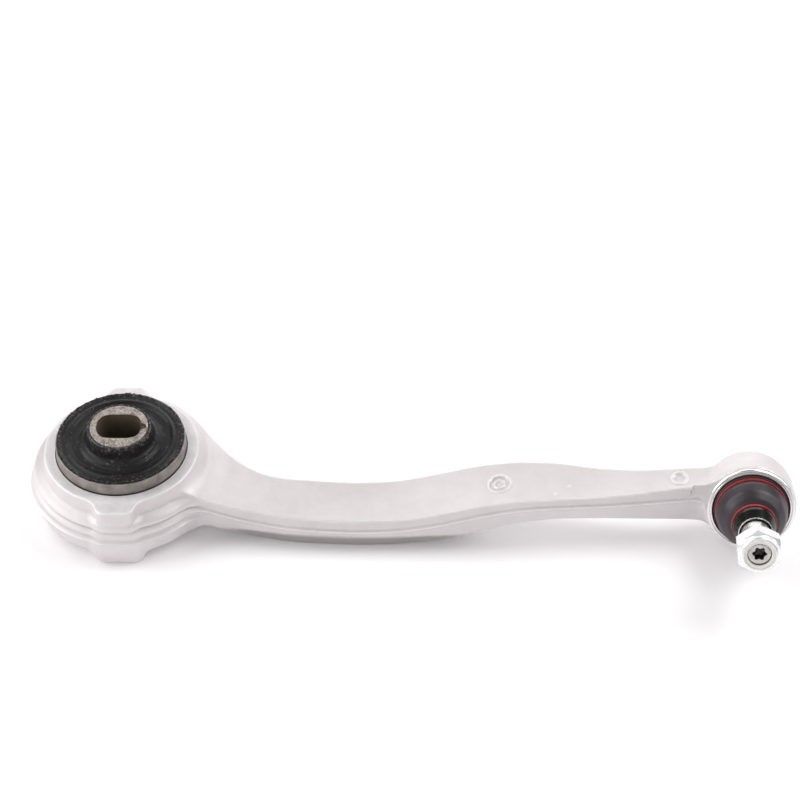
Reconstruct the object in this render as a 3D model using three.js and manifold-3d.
// Front suspension control arm: a forged aluminium link with a hydraulic bush in the big eye
// and a ball joint in the small eye. Millimetres, +Z up. The link lies as it rests on a bench:
// the bush axis is upright, +X runs along the link from the bush to the ball joint, and the
// ball stud points towards -Y and a little upwards.
import * as THREE from "three";
import { mergeVertices } from "three/addons/utils/BufferGeometryUtils.js";
import Module from "manifold-3d";

const wasm = await Module();
wasm.setup();

// ---- Driving dimensions -------------------------------------------------------------------
const GAP = 0.3; // clearance between neighbouring pieces
const BUSH_SEGMENTS = 48; // facets round the bush axis
const JOINT_SEGMENTS = 36; // facets round the stud axis

// Big eye and its two lugs, about the bush axis.
const BUSH_R = 35;
const EYE_TOP = 38;
const LUG_REACH = 48.5;
const LUG_HALF_WIDTH = 10;

// Hydraulic bush, from the outside in.
const SLEEVE_INNER_R = 33.2;
const CHANNEL_OUTER_R = 32.9;
const CHANNEL_INNER_R = 29.4;
const CAGE_OUTER_R = 29.1;
const CAGE_INNER_R = 27.3;
const RUBBER_R = 27;
const COAT_R = 18.5; // the rubber coat on the core, inside the fluid chambers
const CORE_R = 15;
const SLOT_LENGTH = 23.3;
const SLOT_WIDTH = 17.1;
const SLOT_CORNER_R = 3; // where the long hole's flats meet its round ends
const NOTCH_R = 2.2;
const WALL_DEGREES = 44; // the angle that each wall between the two chambers takes up

// Heights in the bush.
const SLEEVE_BOTTOM = 4;
const SLEEVE_TOP = 45;
const CAGE_BOTTOM = 10;
const CAGE_TOP = 40;
const CHAMBER_BOTTOM = 16;
const CHAMBER_TOP = 34;
const CORE_BOTTOM = 0.5;
const CORE_TOP = 54;

// Ball joint: the ball's centre and the stud's direction, then distances along the stud from there.
const BALL_CENTRE = new THREE.Vector3(323.2, -23.6, 24.9);
const STUD_ELEVATION = THREE.MathUtils.degToRad(20.5);
const STUD_AZIMUTH = THREE.MathUtils.degToRad(-3.5); // from -Y, towards +X
const BALL_R = 11.5;
const SEAT_R = 15;
const SEAT_BACK = -9;
const PRESSURE_RING_R = 9;
const HOUSING_R = 23;
const HOUSING_BACK = -13.4;
const HOUSING_RIM = 13;
const RECESS_R = 19.4; // the recess in the rim that takes the boot's foot
const RECESS_FLOOR = 8;
const COVER_R = 16.4;
const COVER_FRONT = -11.3;
const CLIP_WIRE = 1.1; // thickness of the boot clips' flat wire
const BOOT_MOUTH = 38.5;
const BOOT_MOUTH_R = 8.8;
const NUT_BACK = 52;
const NUT_FLATS = 21;
const NUT_TURN = THREE.MathUtils.degToRad(8); // how far a corner is turned from straight up
const HEXAGON_END = 60;
const NUT_END = 63;
const THREAD_R = 7;
const CONE_R = 7.9; // the stud's cone where the boot grips it
const STUD_END = 61;

// ---- Geometry helpers ---------------------------------------------------------------------
// A closed outline of [radius, height] points turned about Z.
function revolve(outline, segments) {
  const points = outline.map(([r, z]) => new THREE.Vector2(r, z));
  if (THREE.ShapeUtils.area(points) < 0) points.reverse();
  const closed = points[0].x === 0 && points.at(-1).x === 0;
  if (!closed) points.push(points[0].clone());
  return new THREE.LatheGeometry(points, segments).rotateX(Math.PI / 2);
}

// A flat shape raised from one height to another along Z.
function prism(shape, bottom, top, bevel = 0, curveSegments = 12) {
  const geometry = new THREE.ExtrudeGeometry(shape, {
    depth: top - bottom - 2 * bevel,
    bevelEnabled: bevel > 0,
    bevelThickness: bevel,
    bevelSize: bevel,
    bevelOffset: -bevel,
    bevelSegments: 1,
    curveSegments,
  });
  return geometry.translate(0, 0, bottom + bevel);
}

function toSolid(geometry) {
  const bare = geometry.clone();
  bare.deleteAttribute("normal");
  bare.deleteAttribute("uv");
  const merged = mergeVertices(bare, 1e-4);
  return new wasm.Manifold(
    new wasm.Mesh({
      numProp: 3,
      vertProperties: new Float32Array(merged.attributes.position.array),
      triVerts: new Uint32Array(merged.index.array),
    }),
  );
}

function toGeometry(solid) {
  const mesh = solid.getMesh();
  const positions = new Float32Array(mesh.numVert * 3);
  for (let i = 0; i < mesh.numVert; i++) {
    const start = i * mesh.numProp;
    positions.set(mesh.vertProperties.subarray(start, start + 3), i * 3);
  }
  const geometry = new THREE.BufferGeometry();
  geometry.setAttribute("position", new THREE.BufferAttribute(positions, 3));
  geometry.setIndex(new THREE.BufferAttribute(new Uint32Array(mesh.triVerts), 1));
  geometry.computeVertexNormals();
  return geometry;
}

// A wedge about Z, from one angle to another in degrees, to cut rings into segments.
function wedge(from, to, radius, bottom, top) {
  const shape = new THREE.Shape();
  shape.moveTo(0, 0);
  const steps = 6;
  for (let i = 0; i <= steps; i++) {
    const angle = THREE.MathUtils.degToRad(from + ((to - from) * i) / steps);
    shape.lineTo(radius * Math.cos(angle), radius * Math.sin(angle));
  }
  return prism(shape, bottom, top);
}

function piece(name, geometry, material) {
  const mesh = new THREE.Mesh(geometry, material);
  mesh.name = name;
  return mesh;
}

// ---- Materials ----------------------------------------------------------------------------
function surface(color, roughness, metalness) {
  return new THREE.MeshStandardMaterial({ color, roughness, metalness });
}
const forgedAluminium = surface(0xcfcac8, 0.5, 0.85);
const sleeveSteel = surface(0x85807a, 0.45, 0.9);
const coreSteel = surface(0x8f857d, 0.65, 0.8);
const hiddenSteel = surface(0x6d6f72, 0.5, 0.9);
const springRubber = surface(0x2b2a2b, 0.6, 0);
const bootRubber = surface(0x3b393c, 0.45, 0);
const darkPlastic = surface(0x3a3f3c, 0.5, 0);
const seatPlastic = surface(0xe9e4d6, 0.4, 0);
const clipRed = surface(0xb8332c, 0.4, 0.2);
const studSteel = surface(0xa9a49c, 0.25, 1);
const zincPlate = surface(0xe3e8ea, 0.25, 0.9);
const nylon = surface(0xece9df, 0.45, 0);

// ---- Arm forging --------------------------------------------------------------------------
// Sections of the beam, from the big eye to the ball joint: [x, front y, back y, bottom z, top z].
const BEAM_SECTIONS = [
  [28, -22, 35, 11.8, 30.5],
  [36, -25.4, 26, 11.5, 30.2],
  [45, -28.5, 13.5, 9.5, 28.6],
  [54, -29.5, 7, 6.2, 26.2],
  [62, -30.2, 1, 3.4, 24.3],
  [72, -31.2, -4, 1.1, 22.6],
  [82, -33, -6, 0.3, 21.6],
  [93, -34.2, -6.5, 0, 20.9],
  [113, -35.3, -7.5, 0, 20.2],
  [124, -35.7, -8, 0, 20.4],
  [144, -35.3, -7.3, 0.4, 20.9],
  [164, -35, -6, 4, 25],
  [185, -33.8, -5, 10.4, 30],
  [205, -33.7, -6, 16.9, 33.8],
  [225, -33.7, -7.8, 20, 34.8],
  [246, -32.5, -12, 18.9, 35.1],
  [266, -31.3, -15, 17.1, 36.9],
  [286, -30, -16, 15.4, 39.4],
  [300, -29.4, -15.8, 13.8, 40.4],
  [312, -29.4, -15.8, 13, 41],
];
const CORNER_R = 3.6; // radius of a section's four corners
const BEAM_STEP = 6; // spacing of the lofted sections along x
const SIDE_BULGE = 1.2; // how far each side stands out at the parting line

// One row of the table, held to the first and the last one.
function sectionRow(index) {
  return BEAM_SECTIONS[THREE.MathUtils.clamp(index, 0, BEAM_SECTIONS.length - 1)];
}

// The section at x: a cubic through the rows on either side, so that the beam has no kinks.
function beamSection(x) {
  const next = Math.max(BEAM_SECTIONS.findIndex((row) => row[0] >= x - 1e-6), 1);
  const before = sectionRow(next - 2);
  const from = sectionRow(next - 1);
  const to = sectionRow(next);
  const after = sectionRow(next + 1);
  const step = to[0] - from[0];
  const t = (x - from[0]) / step;
  return [1, 2, 3, 4].map((column) => {
    const slopeIn = (step * (to[column] - before[column])) / (to[0] - before[0]);
    const slopeOut = (step * (after[column] - from[column])) / (after[0] - from[0]);
    const rise = to[column] - from[column];
    return from[column] + t * slopeIn
      + t * t * (3 * rise - 2 * slopeIn - slopeOut)
      + t * t * t * (slopeIn + slopeOut - 2 * rise);
  });
}

// A section's outline as [y, z] points: round corners, and sides that stand out at the parting line.
function sectionOutline([front, back, bottom, top]) {
  const corners = [
    [back - CORNER_R, top - CORNER_R, 0],
    [front + CORNER_R, top - CORNER_R, 90],
    [front + CORNER_R, bottom + CORNER_R, 180],
    [back - CORNER_R, bottom + CORNER_R, 270],
  ];
  const middle = (bottom + top) / 2;
  const outline = [[back + SIDE_BULGE, middle]];
  for (const [y, z, start] of corners) {
    if (start === 180) outline.push([front - SIDE_BULGE, middle]);
    for (const turn of [0, 45, 90]) {
      const angle = THREE.MathUtils.degToRad(start + turn);
      outline.push([y + CORNER_R * Math.cos(angle), z + CORNER_R * Math.sin(angle)]);
    }
  }
  return outline;
}

function beam() {
  const first = BEAM_SECTIONS[0][0];
  const length = BEAM_SECTIONS.at(-1)[0] - first;
  const spans = Math.round(length / BEAM_STEP);
  const positions = [];
  const indices = [];
  let around = 0;
  for (let i = 0; i <= spans; i++) {
    const x = first + (length * i) / spans;
    const outline = sectionOutline(beamSection(x));
    around = outline.length;
    for (const [y, z] of outline) positions.push(x, y, z);
  }
  for (let i = 0; i < spans; i++) {
    for (let j = 0; j < around; j++) {
      const here = i * around + j;
      const beside = i * around + ((j + 1) % around);
      indices.push(here, beside, here + around);
      indices.push(beside, beside + around, here + around);
    }
  }
  const far = spans * around;
  for (let j = 1; j < around - 1; j++) {
    indices.push(0, j + 1, j);
    indices.push(far, far + j, far + j + 1);
  }
  const geometry = new THREE.BufferGeometry();
  geometry.setAttribute("position", new THREE.Float32BufferAttribute(positions, 3));
  geometry.setIndex(indices);
  return geometry;
}

// The big eye is a stepped ring, widest at its parting line.
function eyeRing() {
  const outline = [
    [BUSH_R + GAP, 4.5],
    [43.5, 4.5],
    [46.5, 8],
    [48, 17],
    [48, 20],
    [46.5, 25],
    [44.8, 28],
    [43, 30],
    [40, 36.5],
    [39, EYE_TOP],
    [BUSH_R + GAP, EYE_TOP],
  ];
  return revolve(outline, BUSH_SEGMENTS);
}

// A lug stands the eye's full height, and the link rests on it; side is -1 at the front, 1 at the back.
function lug(side) {
  const half = LUG_HALF_WIDTH;
  const shape = new THREE.Shape();
  shape.moveTo(-half - 3, side * (BUSH_R + 1));
  shape.lineTo(-half, side * (LUG_REACH - 5));
  shape.quadraticCurveTo(-half, side * LUG_REACH, -half + 5, side * LUG_REACH);
  shape.lineTo(half - 5, side * LUG_REACH);
  shape.quadraticCurveTo(half, side * LUG_REACH, half, side * (LUG_REACH - 5));
  shape.lineTo(half + 3, side * (BUSH_R + 1));
  return prism(shape, 0, EYE_TOP, 1.5, 4);
}

// The ball joint's frame: +Z runs along the stud from the ball's centre.
const studDirection = new THREE.Vector3(
  Math.sin(STUD_AZIMUTH) * Math.cos(STUD_ELEVATION),
  -Math.cos(STUD_AZIMUTH) * Math.cos(STUD_ELEVATION),
  Math.sin(STUD_ELEVATION),
);
const across = new THREE.Vector3(0, 0, 1).cross(studDirection).normalize();
const jointPlace = new THREE.Matrix4()
  .makeBasis(across, studDirection.clone().cross(across), studDirection)
  .setPosition(BALL_CENTRE);

function jointHousing() {
  const outline = [
    [0, HOUSING_BACK],
    [17.6, HOUSING_BACK],
    [19.5, HOUSING_BACK + 0.8],
    [21.8, -10.4],
    [HOUSING_R, -6],
    [HOUSING_R, 10],
    [HOUSING_R - 0.6, HOUSING_RIM],
    [0, HOUSING_RIM],
  ];
  return revolve(outline, JOINT_SEGMENTS).applyMatrix4(jointPlace);
}

// What is bored out of the housing: the cover's seat, the ball seat's bore, the throat and the recess.
function jointCavity() {
  const outline = [
    [0, HOUSING_BACK - 1],
    [COVER_R + GAP, HOUSING_BACK - 1],
    [COVER_R + GAP, COVER_FRONT + GAP],
    [SEAT_R + GAP, COVER_FRONT + GAP],
    [SEAT_R + GAP, 5.5],
    [12.6, 6.6],
    [13.4, RECESS_FLOOR],
    [RECESS_R, RECESS_FLOOR],
    [RECESS_R, HOUSING_RIM + 1],
    [0, HOUSING_RIM + 1],
  ];
  return revolve(outline, JOINT_SEGMENTS).applyMatrix4(jointPlace);
}

function armForging() {
  const boreR = BUSH_R + GAP;
  const bore = revolve([[0, -1], [boreR, -1], [boreR, EYE_TOP + 1], [0, EYE_TOP + 1]], BUSH_SEGMENTS);
  const solid = toSolid(eyeRing())
    .add(toSolid(lug(-1)))
    .add(toSolid(lug(1)))
    .add(toSolid(beam()))
    .add(toSolid(jointHousing()))
    .subtract(toSolid(bore))
    .subtract(toSolid(jointCavity()));
  return piece("arm_forging", toGeometry(solid), forgedAluminium);
}

// ---- Hydraulic bush -----------------------------------------------------------------------
function bushOuterSleeve() {
  const outline = [
    [SLEEVE_INNER_R, SLEEVE_BOTTOM],
    [BUSH_R - 0.5, SLEEVE_BOTTOM],
    [BUSH_R, SLEEVE_BOTTOM + 2],
    [BUSH_R, EYE_TOP - 1.2],
    [BUSH_R - 0.9, EYE_TOP - 0.4],
    [SLEEVE_INNER_R + 0.4, SLEEVE_TOP],
    [SLEEVE_INNER_R, SLEEVE_TOP],
  ];
  return piece("bush_outer_sleeve", revolve(outline, BUSH_SEGMENTS), sleeveSteel);
}

// A plain ring about Z.
function ring(inner, outer, bottom, top) {
  return revolve([[inner, bottom], [outer, bottom], [outer, top], [inner, top]], BUSH_SEGMENTS);
}

// The two fluid chambers face +X and -X; this is the room that they take between two radii.
const CHAMBER_HALF = 90 - WALL_DEGREES / 2;
function chamberRoom(side, bottom, top) {
  const middle = side > 0 ? 0 : 180;
  return wedge(middle - CHAMBER_HALF, middle + CHAMBER_HALF, BUSH_R + 5, bottom, top);
}

// A window cage: two end rings joined by two webs, with a window at each chamber.
function bushWindowCage() {
  const solid = toSolid(ring(CAGE_INNER_R, CAGE_OUTER_R, CAGE_BOTTOM, CAGE_TOP))
    .subtract(toSolid(chamberRoom(1, CHAMBER_BOTTOM, CHAMBER_TOP)))
    .subtract(toSolid(chamberRoom(-1, CHAMBER_BOTTOM, CHAMBER_TOP)));
  return piece("bush_window_cage", toGeometry(solid), hiddenSteel);
}

// Half of the ring that closes the windows, with the fluid channel as a groove round its outer face.
function channelShell(name, from, to) {
  const low = CAGE_BOTTOM + 1.5;
  const high = CAGE_TOP - 1.5;
  const middle = (low + high) / 2;
  const grooveR = CHANNEL_OUTER_R - 2;
  const outline = [
    [CHANNEL_INNER_R, low],
    [CHANNEL_OUTER_R, low],
    [CHANNEL_OUTER_R, middle - 3],
    [grooveR, middle - 3],
    [grooveR, middle + 3],
    [CHANNEL_OUTER_R, middle + 3],
    [CHANNEL_OUTER_R, high],
    [CHANNEL_INNER_R, high],
  ];
  const room = toSolid(wedge(from, to, BUSH_R + 5, low - 1, high + 1));
  const solid = toSolid(revolve(outline, BUSH_SEGMENTS)).intersect(room);
  return piece(name, toGeometry(solid), darkPlastic);
}

// A travel stop sits on the coated core inside each chamber, clear of the chamber's walls.
function travelStop(name, from, to) {
  const inner = COAT_R + GAP;
  const outline = [
    [inner, 19],
    [inner + 3.4, 20.5],
    [inner + 3.4, 29.5],
    [inner, 31],
  ];
  const room = toSolid(wedge(from, to, BUSH_R, 15, 35));
  const solid = toSolid(revolve(outline, BUSH_SEGMENTS)).intersect(room);
  return piece(name, toGeometry(solid), seatPlastic);
}

// The rubber spring fills the cage, bonds to the core and laps over the cage's ends; two chambers
// are cut into it from the sides.
function bushRubber() {
  const bore = CORE_R + GAP;
  const lip = CHANNEL_OUTER_R;
  const outline = [
    [bore, 2.6],
    [16.3, 2.6],
    [17.2, 6.5],
    [20, 8.4],
    [25, 8.4],
    [27.6, SLEEVE_BOTTOM + 0.6],
    [lip, SLEEVE_BOTTOM + 0.6],
    [lip, CAGE_BOTTOM - GAP],
    [RUBBER_R, CAGE_BOTTOM - GAP],
    [RUBBER_R, CAGE_TOP + GAP],
    [lip, CAGE_TOP + GAP],
    [lip, SLEEVE_TOP + 0.2],
    [32.2, SLEEVE_TOP + 0.6],
    [28, SLEEVE_TOP + 0.6],
    [27, SLEEVE_TOP + 0.9],
    [26, SLEEVE_TOP],
    [20.5, SLEEVE_TOP],
    [18, SLEEVE_TOP + 1.4],
    [16.3, SLEEVE_TOP + 4],
    [16.1, CORE_TOP - 0.6],
    [bore, CORE_TOP - 0.6],
  ];
  const chamber = (side) =>
    toSolid(chamberRoom(side, CHAMBER_BOTTOM, CHAMBER_TOP))
      .subtract(toSolid(revolve([[0, 5], [COAT_R, 5], [COAT_R, 45], [0, 45]], BUSH_SEGMENTS)));
  const solid = toSolid(revolve(outline, BUSH_SEGMENTS)).subtract(chamber(1)).subtract(chamber(-1));
  return piece("bush_rubber", toGeometry(solid), springRubber);
}

// The long hole is a round hole between two flats, with round corners where they meet.
function longHole() {
  const roundR = SLOT_LENGTH / 2;
  const cornerY = SLOT_WIDTH / 2 - SLOT_CORNER_R;
  const cornerX = Math.sqrt((roundR - SLOT_CORNER_R) ** 2 - cornerY ** 2);
  const meet = Math.atan2(cornerY, cornerX);
  const path = new THREE.Path();
  path.absarc(0, 0, roundR, -meet, meet);
  path.absarc(cornerX, cornerY, SLOT_CORNER_R, meet, Math.PI / 2);
  path.absarc(-cornerX, cornerY, SLOT_CORNER_R, Math.PI / 2, Math.PI - meet);
  path.absarc(0, 0, roundR, Math.PI - meet, Math.PI + meet);
  path.absarc(-cornerX, -cornerY, SLOT_CORNER_R, Math.PI + meet, 1.5 * Math.PI);
  path.absarc(cornerX, -cornerY, SLOT_CORNER_R, 1.5 * Math.PI, 2 * Math.PI - meet);
  return path;
}

// The core has a long hole, so that the link's length can be set; a notch marks one end of it.
function bushInnerSleeve() {
  const outside = new THREE.Shape();
  outside.absarc(0, 0, CORE_R, 0, 2 * Math.PI);
  outside.holes.push(longHole());
  const notch = new THREE.CylinderGeometry(NOTCH_R, NOTCH_R, 4, 10)
    .rotateX(Math.PI / 2)
    .translate(SLOT_LENGTH / 2, 0, CORE_TOP);
  const body = toSolid(prism(outside, CORE_BOTTOM, CORE_TOP, 0, 16));
  return piece("bush_inner_sleeve", toGeometry(body.subtract(toSolid(notch))), coreSteel);
}

// ---- Ball joint, in its own frame: +Z along the stud, origin at the ball's centre -------------
function arcPoints(radius, fromDegrees, toDegrees, steps) {
  const points = [];
  for (let i = 0; i <= steps; i++) {
    const angle = THREE.MathUtils.degToRad(fromDegrees + ((toDegrees - fromDegrees) * i) / steps);
    points.push([radius * Math.cos(angle), radius * Math.sin(angle)]);
  }
  return points;
}

function ballStud() {
  const outline = [
    [0, -BALL_R],
    ...arcPoints(BALL_R, -78, 54, 11),
    [6.5, 12.5],
    [CONE_R, 20],
    [CONE_R, 37],
    [THREAD_R, NUT_BACK - 4],
    [THREAD_R, STUD_END - 1.5],
    [5.7, STUD_END],
    [0, STUD_END],
  ];
  const socket = new THREE.CylinderGeometry(3.2, 3.2, 8, 12)
    .rotateX(Math.PI / 2)
    .translate(0, 0, STUD_END - 1);
  const solid = toSolid(revolve(outline, JOINT_SEGMENTS)).subtract(toSolid(socket));
  return piece("ball_stud", toGeometry(solid), studSteel);
}

// The plastic seat wraps the ball past its widest circle and is open at both ends.
function ballSeat() {
  const outline = [[SEAT_R, SEAT_BACK], [SEAT_R, 5], [12, 6], ...arcPoints(BALL_R + GAP, 29, -47, 8)];
  return piece("ball_seat", revolve(outline, JOINT_SEGMENTS), seatPlastic);
}

// A springy ring between the seat and the cover keeps the seat pressed on the ball.
function seatPressureRing() {
  const outline = [
    [PRESSURE_RING_R, SEAT_BACK - GAP],
    [SEAT_R, SEAT_BACK - GAP],
    [SEAT_R, COVER_FRONT + GAP],
    [PRESSURE_RING_R + 0.6, COVER_FRONT + GAP],
  ];
  return piece("seat_pressure_ring", revolve(outline, JOINT_SEGMENTS), darkPlastic);
}

// The pressed cover closes the housing's back, dished out round its middle.
function housingCover() {
  const outline = [
    [0, -13],
    [9.5, -13],
    [11, HOUSING_BACK],
    [13.5, HOUSING_BACK],
    [15, -13],
    [COVER_R, -13],
    [COVER_R, COVER_FRONT],
    [7.4, COVER_FRONT],
    [6.6, -12],
    [0, -12],
  ];
  return piece("housing_cover", revolve(outline, JOINT_SEGMENTS), hiddenSteel);
}

// An L-section ring pressed into the recess carries the boot's foot.
function bootCarrierRing() {
  const outline = [
    [14.2, RECESS_FLOOR + GAP],
    [RECESS_R - GAP, RECESS_FLOOR + GAP],
    [RECESS_R - GAP, 9.4],
    [14.2, 9.4],
  ];
  return piece("boot_carrier_ring", revolve(outline, JOINT_SEGMENTS), hiddenSteel);
}

// The boot's foot fills the recess, its wall bulges, and its neck grips the stud.
function dustBoot() {
  const neck = CONE_R + GAP;
  const outline = [
    [14.6, 9.7],
    [RECESS_R - GAP, 9.7],
    [RECESS_R - GAP, 13.4],
    [17.2, 13.5],
    [17.2, 16.1],
    [18, 16.6],
    [17.8, 19.5],
    [16.1, 24],
    [12.9, 27.4],
    [10.3, 28.6],
    [10.3, 31.3],
    [10.9, 31.9],
    [10.4, BOOT_MOUTH - 4.5],
    [BOOT_MOUTH_R, BOOT_MOUTH - 0.5],
    [BOOT_MOUTH_R - 0.3, BOOT_MOUTH],
    [neck, BOOT_MOUTH],
    [neck, 30],
    [10.3, 26.4],
    [14.3, 22.4],
    [15.6, 18.6],
    [15.2, 14],
  ];
  return piece("dust_boot", revolve(outline, JOINT_SEGMENTS), bootRubber);
}

// A boot clip is a band of flat wire in a groove of the boot.
function bootClip(name, inner, low, high) {
  const outer = inner + CLIP_WIRE;
  const outline = [
    [inner, low],
    [outer - 0.2, low],
    [outer, (low + high) / 2],
    [outer - 0.2, high],
    [inner, high],
  ];
  return piece(name, revolve(outline, JOINT_SEGMENTS), clipRed);
}

// A thin steel washer at the boot's mouth keeps the lip square to the stud.
function bootLipRing() {
  const low = BOOT_MOUTH + GAP;
  const inner = CONE_R + GAP;
  const outline = [[inner, low], [BOOT_MOUTH_R, low], [BOOT_MOUTH_R, low + 0.7], [inner, low + 0.7]];
  return piece("boot_lip_ring", revolve(outline, JOINT_SEGMENTS), studSteel);
}

// A self-locking nut: a chamfered hexagon, and a round collar that holds the nylon ring.
function lockNut() {
  const cornerR = NUT_FLATS / Math.sqrt(3);
  const flatR = NUT_FLATS / 2;
  const hexagon = new THREE.CylinderGeometry(cornerR, cornerR, HEXAGON_END - NUT_BACK, 6)
    .rotateX(Math.PI / 2)
    .rotateZ(NUT_TURN)
    .translate(0, 0, (HEXAGON_END + NUT_BACK) / 2);
  const envelope = revolve(
    [
      [0, NUT_BACK],
      [flatR - 0.2, NUT_BACK],
      [cornerR + 0.4, NUT_BACK + 1],
      [cornerR + 0.4, HEXAGON_END - 2.4],
      [flatR - 0.5, HEXAGON_END],
      [0, HEXAGON_END],
    ],
    JOINT_SEGMENTS,
  );
  const collar = revolve(
    [
      [0, HEXAGON_END - 2],
      [flatR - 0.7, HEXAGON_END - 2],
      [flatR - 0.7, NUT_END - 1],
      [flatR - 1.6, NUT_END],
      [0, NUT_END],
    ],
    JOINT_SEGMENTS,
  );
  const bore = revolve(
    [
      [0, NUT_BACK - 1],
      [THREAD_R + GAP, NUT_BACK - 1],
      [THREAD_R + GAP, 58],
      [8.4, 58],
      [8.4, NUT_END + 1],
      [0, NUT_END + 1],
    ],
    JOINT_SEGMENTS,
  );
  const solid = toSolid(hexagon).intersect(toSolid(envelope)).add(toSolid(collar)).subtract(toSolid(bore));
  return piece("lock_nut", toGeometry(solid), zincPlate);
}

function nutNylonRing() {
  const outline = [
    [THREAD_R + GAP, 58 + GAP],
    [8.1, 58 + GAP],
    [8.1, NUT_END - 0.6],
    [7.6, NUT_END - 0.2],
    [THREAD_R + GAP, NUT_END - 0.8],
  ];
  return piece("nut_nylon_ring", revolve(outline, JOINT_SEGMENTS), nylon);
}

// ---- Assembly -----------------------------------------------------------------------------
const shellHalf = 88; // each half ring stops 2 degrees short of the joint between the halves
const stopHalf = CHAMBER_HALF - 22; // leaves the stop room to turn with the core
const bush = new THREE.Group();
bush.add(
  bushOuterSleeve(),
  bushWindowCage(),
  channelShell("channel_shell_right", -shellHalf, shellHalf),
  channelShell("channel_shell_left", 180 - shellHalf, 180 + shellHalf),
  bushRubber(),
  travelStop("travel_stop_right", -stopHalf, stopHalf),
  travelStop("travel_stop_left", 180 - stopHalf, 180 + stopHalf),
  bushInnerSleeve(),
);

const ballJoint = new THREE.Group();
ballJoint.applyMatrix4(jointPlace);
ballJoint.add(
  ballSeat(),
  seatPressureRing(),
  housingCover(),
  ballStud(),
  bootCarrierRing(),
  dustBoot(),
  bootClip("boot_large_clip", 17.5, 13.8, 15.8),
  bootClip("boot_small_clip", 10.6, 28.9, 31),
  bootLipRing(),
  lockNut(),
  nutNylonRing(),
);

const link = new THREE.Group();
link.add(armForging(), bush, ballJoint);

// The origin is the middle of the link's box, on the surface that it lies on.
const extent = new THREE.Box3().setFromObject(link, true);
const middle = extent.getCenter(new THREE.Vector3());
link.position.set(-middle.x, -middle.y, -extent.min.z);

export default link;
